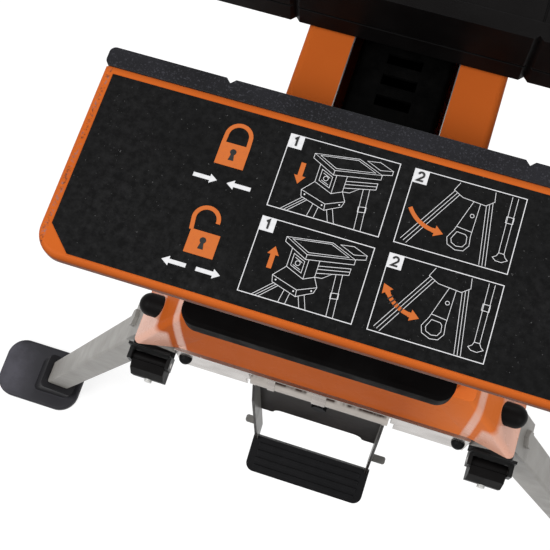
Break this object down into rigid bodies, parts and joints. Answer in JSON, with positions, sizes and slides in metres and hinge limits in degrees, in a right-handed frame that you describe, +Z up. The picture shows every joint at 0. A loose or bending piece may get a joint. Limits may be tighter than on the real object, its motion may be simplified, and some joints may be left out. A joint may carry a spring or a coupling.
{
  "type": "portable clamping stand",
  "caption": "Folding clamping stand: a foot pedal draws a sliding jaw along a beam towards a fixed padded jaw, on splayed front legs and a telescopic rear leg.",
  "frame": {"origin": "on the floor, at the middle of the stand's box", "axes": "X along the jaws to the user's right, Y from the user to the back along the beam, Z up"},
  "size_m": [0.94, 0.9298, 0.87],
  "materials": {
    "orange_paint": "gloss powder coat",
    "black_paint": "satin powder coat",
    "bright_steel": "bright zinc plate",
    "grey_paint": "satin grey powder coat",
    "black_rubber": "matte moulded rubber",
    "jaw_polyurethane": "fine speckled moulding",
    "black_plastic": "fine textured moulding",
    "label_film": "satin film",
    "guide_nylon": "smooth moulding"
  },
  "bodies": {
    "frame": {"fixed_jaw_panel": "orange_paint", "fixed_jaw_face": "jaw_polyurethane", "jaw_back_plate": "orange_paint", "jaw_label": "label_film", "column_shell": "orange_paint", "jaw_supports": "orange_paint", "front_cover": "black_plastic", "lock_pins": "bright_steel", "apron": "orange_paint", "apron_bumpers": "black_rubber", "lower_frame": "bright_steel", "pedal_shaft": "bright_steel", "frame_bolts": "black_paint", "bell_crank_pin": "bright_steel", "mechanism_plate": "black_paint", "beam": "orange_paint", "beam_end_cap": "black_plastic", "beam_guides": "guide_nylon", "return_spring": "bright_steel", "gusset_plates": "orange_paint", "gusset_bolts": "bright_steel", "leg_brackets": "grey_paint", "leg_pivot_bolts": "grey_paint", "latch_pins": "bright_steel", "rear_bracket": "black_paint", "rear_pivot_bolt": "bright_steel"},
    "pedal": {"pedal_lever": "bright_steel", "pedal_pad": "black_rubber", "pedal_bolt": "bright_steel", "pedal_crank": "bright_steel", "pedal_ratchet": "bright_steel"},
    "push_rod": {"push_rod": "bright_steel"},
    "bell_crank": {"bell_crank": "bright_steel"},
    "draw_bar": {"draw_bar": "black_paint", "draw_bar_lug": "bright_steel", "draw_bar_plug": "black_plastic"},
    "sliding_jaw": {"sliding_jaw_face": "black_plastic", "sliding_jaw_body": "black_plastic", "sliding_jaw_cheeks": "orange_paint", "slide_pads": "guide_nylon", "slide_keeper": "black_paint", "sliding_jaw_bolts": "bright_steel", "release_pin": "bright_steel"},
    "release_lever": {"release_lever": "black_plastic"},
    "lock_lever": {"lock_lever": "black_plastic"},
    "lock_rod": {"lock_rod": "bright_steel"},
    "lock_pawl": {"lock_pawl": "bright_steel"},
    "leg_right": {"leg_tube_right": "grey_paint", "leg_foot_right": "black_rubber"},
    "leg_left": {"leg_tube_left": "grey_paint", "leg_foot_left": "black_rubber"},
    "latch_right": {"leg_latch_right": "black_plastic", "latch_stud_right": "bright_steel"},
    "latch_left": {"leg_latch_left": "black_plastic", "latch_stud_left": "bright_steel"},
    "rear_leg": {"rear_leg_tube": "grey_paint", "rear_leg_collar": "black_plastic"},
    "rear_slider": {"rear_inner_tube": "grey_paint", "rear_foot": "black_rubber"},
    "collar_knob": {"collar_knob": "black_plastic"}
  },
  "joints": [
    {"name": "pedal_hinge", "type": "hinge", "parent": "frame", "child": "pedal", "pos_m": [0, -0.39851, 0.538], "axis": [-1, 0, 0], "range_deg": [0, 45]},
    {"name": "draw_bar_slide", "type": "slide", "parent": "frame", "child": "draw_bar", "axis": [0, 1, 0], "range_m": [0, 0.02316], "deforming": ["return_spring"]},
    {"name": "push_rod_slide", "type": "slide", "parent": "frame", "child": "push_rod", "axis": [0, 0, -1], "range_m": [0, 0.02316]},
    {"name": "bell_crank_hinge", "type": "hinge", "parent": "frame", "child": "bell_crank", "pos_m": [0, -0.33651, 0.802], "axis": [1, 0, 0], "range_deg": [0, 45]},
    {"name": "jaw_slide", "type": "slide", "parent": "draw_bar", "child": "sliding_jaw", "axis": [0, 1, 0], "range_m": [-0.076, 0.364]},
    {"name": "release_lever_hinge", "type": "hinge", "parent": "sliding_jaw", "child": "release_lever", "pos_m": [0, -0.02851, 0.846], "axis": [-1, 0, 0], "range_deg": [0, 16], "stiffness_Nm_per_rad": 0.6, "springref_deg": -14.32},
    {"name": "lock_lever_hinge", "type": "hinge", "parent": "frame", "child": "lock_lever", "pos_m": [-0.04, -0.39551, 0.775], "axis": [-1, 0, 0], "range_deg": [0, 20]},
    {"name": "lock_rod_slide", "type": "slide", "parent": "frame", "child": "lock_rod", "axis": [0, 0, -1], "range_m": [0, 0.00629]},
    {"name": "lock_pawl_hinge", "type": "hinge", "parent": "frame", "child": "lock_pawl", "pos_m": [-0.043, -0.36451, 0.582], "axis": [1, 0, 0], "range_deg": [0, 25.52]},
    {"name": "leg_fold_right", "type": "hinge", "parent": "frame", "child": "leg_right", "pos_m": [0.162, -0.38351, 0.521], "axis": [0.9135, 0, 0.4067], "range_deg": [0, 88]},
    {"name": "leg_fold_left", "type": "hinge", "parent": "frame", "child": "leg_left", "pos_m": [-0.162, -0.38351, 0.521], "axis": [0.9135, 0, -0.4067], "range_deg": [0, 88]},
    {"name": "leg_latch_right", "type": "hinge", "parent": "frame", "child": "latch_right", "pos_m": [0.155, -0.41551, 0.528], "axis": [-1, 0, 0], "range_deg": [0, 15], "stiffness_Nm_per_rad": 0.2, "springref_deg": -11.46},
    {"name": "leg_latch_left", "type": "hinge", "parent": "frame", "child": "latch_left", "pos_m": [-0.155, -0.41551, 0.528], "axis": [-1, 0, 0], "range_deg": [0, 15], "stiffness_Nm_per_rad": 0.2, "springref_deg": -11.46},
    {"name": "rear_leg_fold", "type": "hinge", "parent": "frame", "child": "rear_leg", "pos_m": [0, 0.30349, 0.7], "axis": [-1, 0, 0], "range_deg": [0, 60]},
    {"name": "rear_leg_slide", "type": "slide", "parent": "rear_leg", "child": "rear_slider", "axis": [0, -0.1736, 0.9848], "range_m": [-0.04, 0.12]},
    {"name": "collar_knob_turn", "type": "hinge", "parent": "rear_leg", "child": "collar_knob", "pos_m": [0, 0.37, 0.32282], "axis": [0, 0.9848, 0.1736], "range_deg": [0, 360]}
  ],
  "couplings": [
    {"joint": "draw_bar_slide", "follows": "pedal_hinge", "m_per_rad": 0.029235},
    {"joint": "push_rod_slide", "follows": "pedal_hinge", "m_per_rad": 0.029235},
    {"joint": "bell_crank_hinge", "follows": "pedal_hinge", "ratio": 1},
    {"joint": "lock_rod_slide", "follows": "lock_lever_hinge", "m_per_rad": 0.017726},
    {"joint": "lock_pawl_hinge", "follows": "lock_lever_hinge", "ratio": 1.2661}
  ]
}
